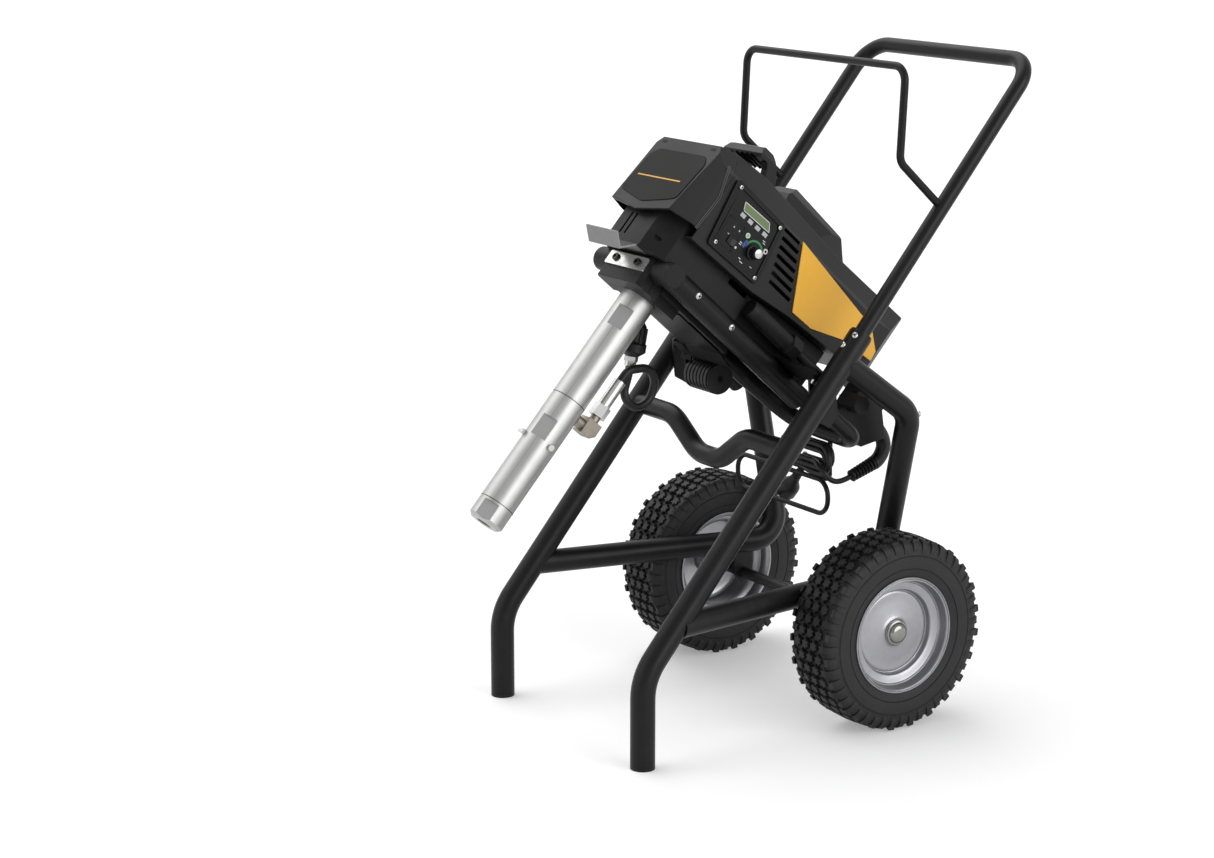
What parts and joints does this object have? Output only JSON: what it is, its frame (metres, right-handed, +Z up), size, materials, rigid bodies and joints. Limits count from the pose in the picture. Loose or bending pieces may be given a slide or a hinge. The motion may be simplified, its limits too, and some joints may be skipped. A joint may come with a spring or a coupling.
{
  "type": "airless paint sprayer",
  "caption": "Electric airless paint sprayer: piston pump unit with motor, gears and fluid section, tilted on a wheeled tubular cart with handle, hose rack and coiled mains cord.",
  "frame": {"origin": "centre of the footprint of the bounding box, on the floor", "axes": "+Z up, +Y from the pump's fluid section towards the handle, +X to the control panel's side"},
  "size_m": [0.569, 0.9119, 1.0313],
  "materials": {
    "black_paint": "satin black powder coat",
    "black_plastic": "fine grained",
    "yellow_plastic": "smooth coloured panels",
    "clear_window": "dark display window",
    "black_rubber": "matte",
    "tyre_rubber": "matte tread",
    "rim_silver": "silver enamel",
    "bright_steel": "zinc plated",
    "chrome_steel": "hard chrome",
    "cast_aluminium": "as cast"
  },
  "bodies": {
    "cart": {"axle": "bright_steel", "axle_caps": "bright_steel", "buffer_roll": "black_rubber", "carry_handle": "black_plastic", "clamp_block": "cast_aluminium", "conduit": "black_plastic", "control_panel": "black_plastic", "cord_hanger": "black_paint", "cord_hank": "black_rubber", "cord_sleeve": "black_rubber", "cradle_bracket": "black_paint", "cross_bar": "black_paint", "display": "clear_window", "drive_housing": "black_paint", "filter_cap": "cast_aluminium", "foot_caps": "black_plastic", "front_cover": "black_plastic", "handle": "black_paint", "handle_sleeves": "black_plastic", "hose_fittings": "bright_steel", "hose_rack": "black_paint", "inlet_ball": "bright_steel", "inlet_box": "black_plastic", "inlet_housing": "chrome_steel", "legs": "black_paint", "lower_bow": "black_paint", "mains_plug": "black_rubber", "motor_shroud": "black_plastic", "motor_stator": "cast_aluminium", "outlet_elbow": "bright_steel", "packings": "black_rubber", "pail_hook": "bright_steel", "power_cord": "black_rubber", "pressure_hose": "black_rubber", "pump_cylinder": "chrome_steel", "rails": "black_paint", "rear_tubes": "black_paint", "retainer_plate": "bright_steel", "screws": "bright_steel", "side_panels": "yellow_plastic", "strain_relief": "black_rubber", "top_cover": "black_plastic", "under_tray": "black_paint", "upper_housing": "chrome_steel"},
    "wheel_left": {"tyre_left": "tyre_rubber", "rim_left": "rim_silver", "bush_left": "black_plastic"},
    "wheel_right": {"tyre_right": "tyre_rubber", "rim_right": "rim_silver", "bush_right": "black_plastic"},
    "rotor": {"motor_rotor": "bright_steel", "cooling_fan": "black_plastic"},
    "crank": {"crank_gear": "bright_steel"},
    "piston": {"piston_rod": "chrome_steel"},
    "knob": {"pressure_knob": "black_plastic"},
    "switch": {"power_switch": "black_plastic"},
    "key_1": {"button_1": "black_plastic"},
    "key_2": {"button_2": "black_plastic"},
    "key_3": {"button_3": "black_plastic"},
    "key_4": {"button_4": "black_plastic"}
  },
  "joints": [
    {"name": "wheel_left_spin", "type": "hinge", "parent": "cart", "child": "wheel_left", "pos_m": [-0.236, 0.1475, 0.154], "axis": [1, 0, 0], "continuous": true},
    {"name": "wheel_right_spin", "type": "hinge", "parent": "cart", "child": "wheel_right", "pos_m": [0.236, 0.1475, 0.154], "axis": [1, 0, 0], "continuous": true},
    {"name": "rotor_spin", "type": "hinge", "parent": "cart", "child": "rotor", "pos_m": [0, 0.0044, 0.7563], "axis": [0, 0.749, -0.6626], "continuous": true},
    {"name": "crank_spin", "type": "hinge", "parent": "cart", "child": "crank", "pos_m": [0, -0.06831, 0.74052], "axis": [0, 0.749, -0.6626], "continuous": true},
    {"name": "piston_slide", "type": "slide", "parent": "cart", "child": "piston", "axis": [0, 0.6626, 0.749], "range_m": [-0.015, 0.015]},
    {"name": "pressure_knob_turn", "type": "hinge", "parent": "cart", "child": "knob", "pos_m": [0.099, -0.01816, 0.74288], "axis": [1, 0, 0], "range_deg": [-150, 150]},
    {"name": "power_switch_rock", "type": "hinge", "parent": "cart", "child": "switch", "pos_m": [0.0965, -0.0584, 0.7638], "axis": [0, 0.6626, 0.749], "range_deg": [0, 12]},
    {"name": "button_1_press", "type": "slide", "parent": "cart", "child": "key_1", "axis": [1, 0, 0], "range_m": [-0.0012, 0], "stiffness_N_per_m": 300, "springref_m": 0.001},
    {"name": "button_2_press", "type": "slide", "parent": "cart", "child": "key_2", "axis": [1, 0, 0], "range_m": [-0.0012, 0], "stiffness_N_per_m": 300, "springref_m": 0.001},
    {"name": "button_3_press", "type": "slide", "parent": "cart", "child": "key_3", "axis": [1, 0, 0], "range_m": [-0.0012, 0], "stiffness_N_per_m": 300, "springref_m": 0.001},
    {"name": "button_4_press", "type": "slide", "parent": "cart", "child": "key_4", "axis": [1, 0, 0], "range_m": [-0.0012, 0], "stiffness_N_per_m": 300, "springref_m": 0.001}
  ],
  "couplings": [
    {"joint": "crank_spin", "follows": "rotor_spin", "ratio": -0.25}
  ]
}
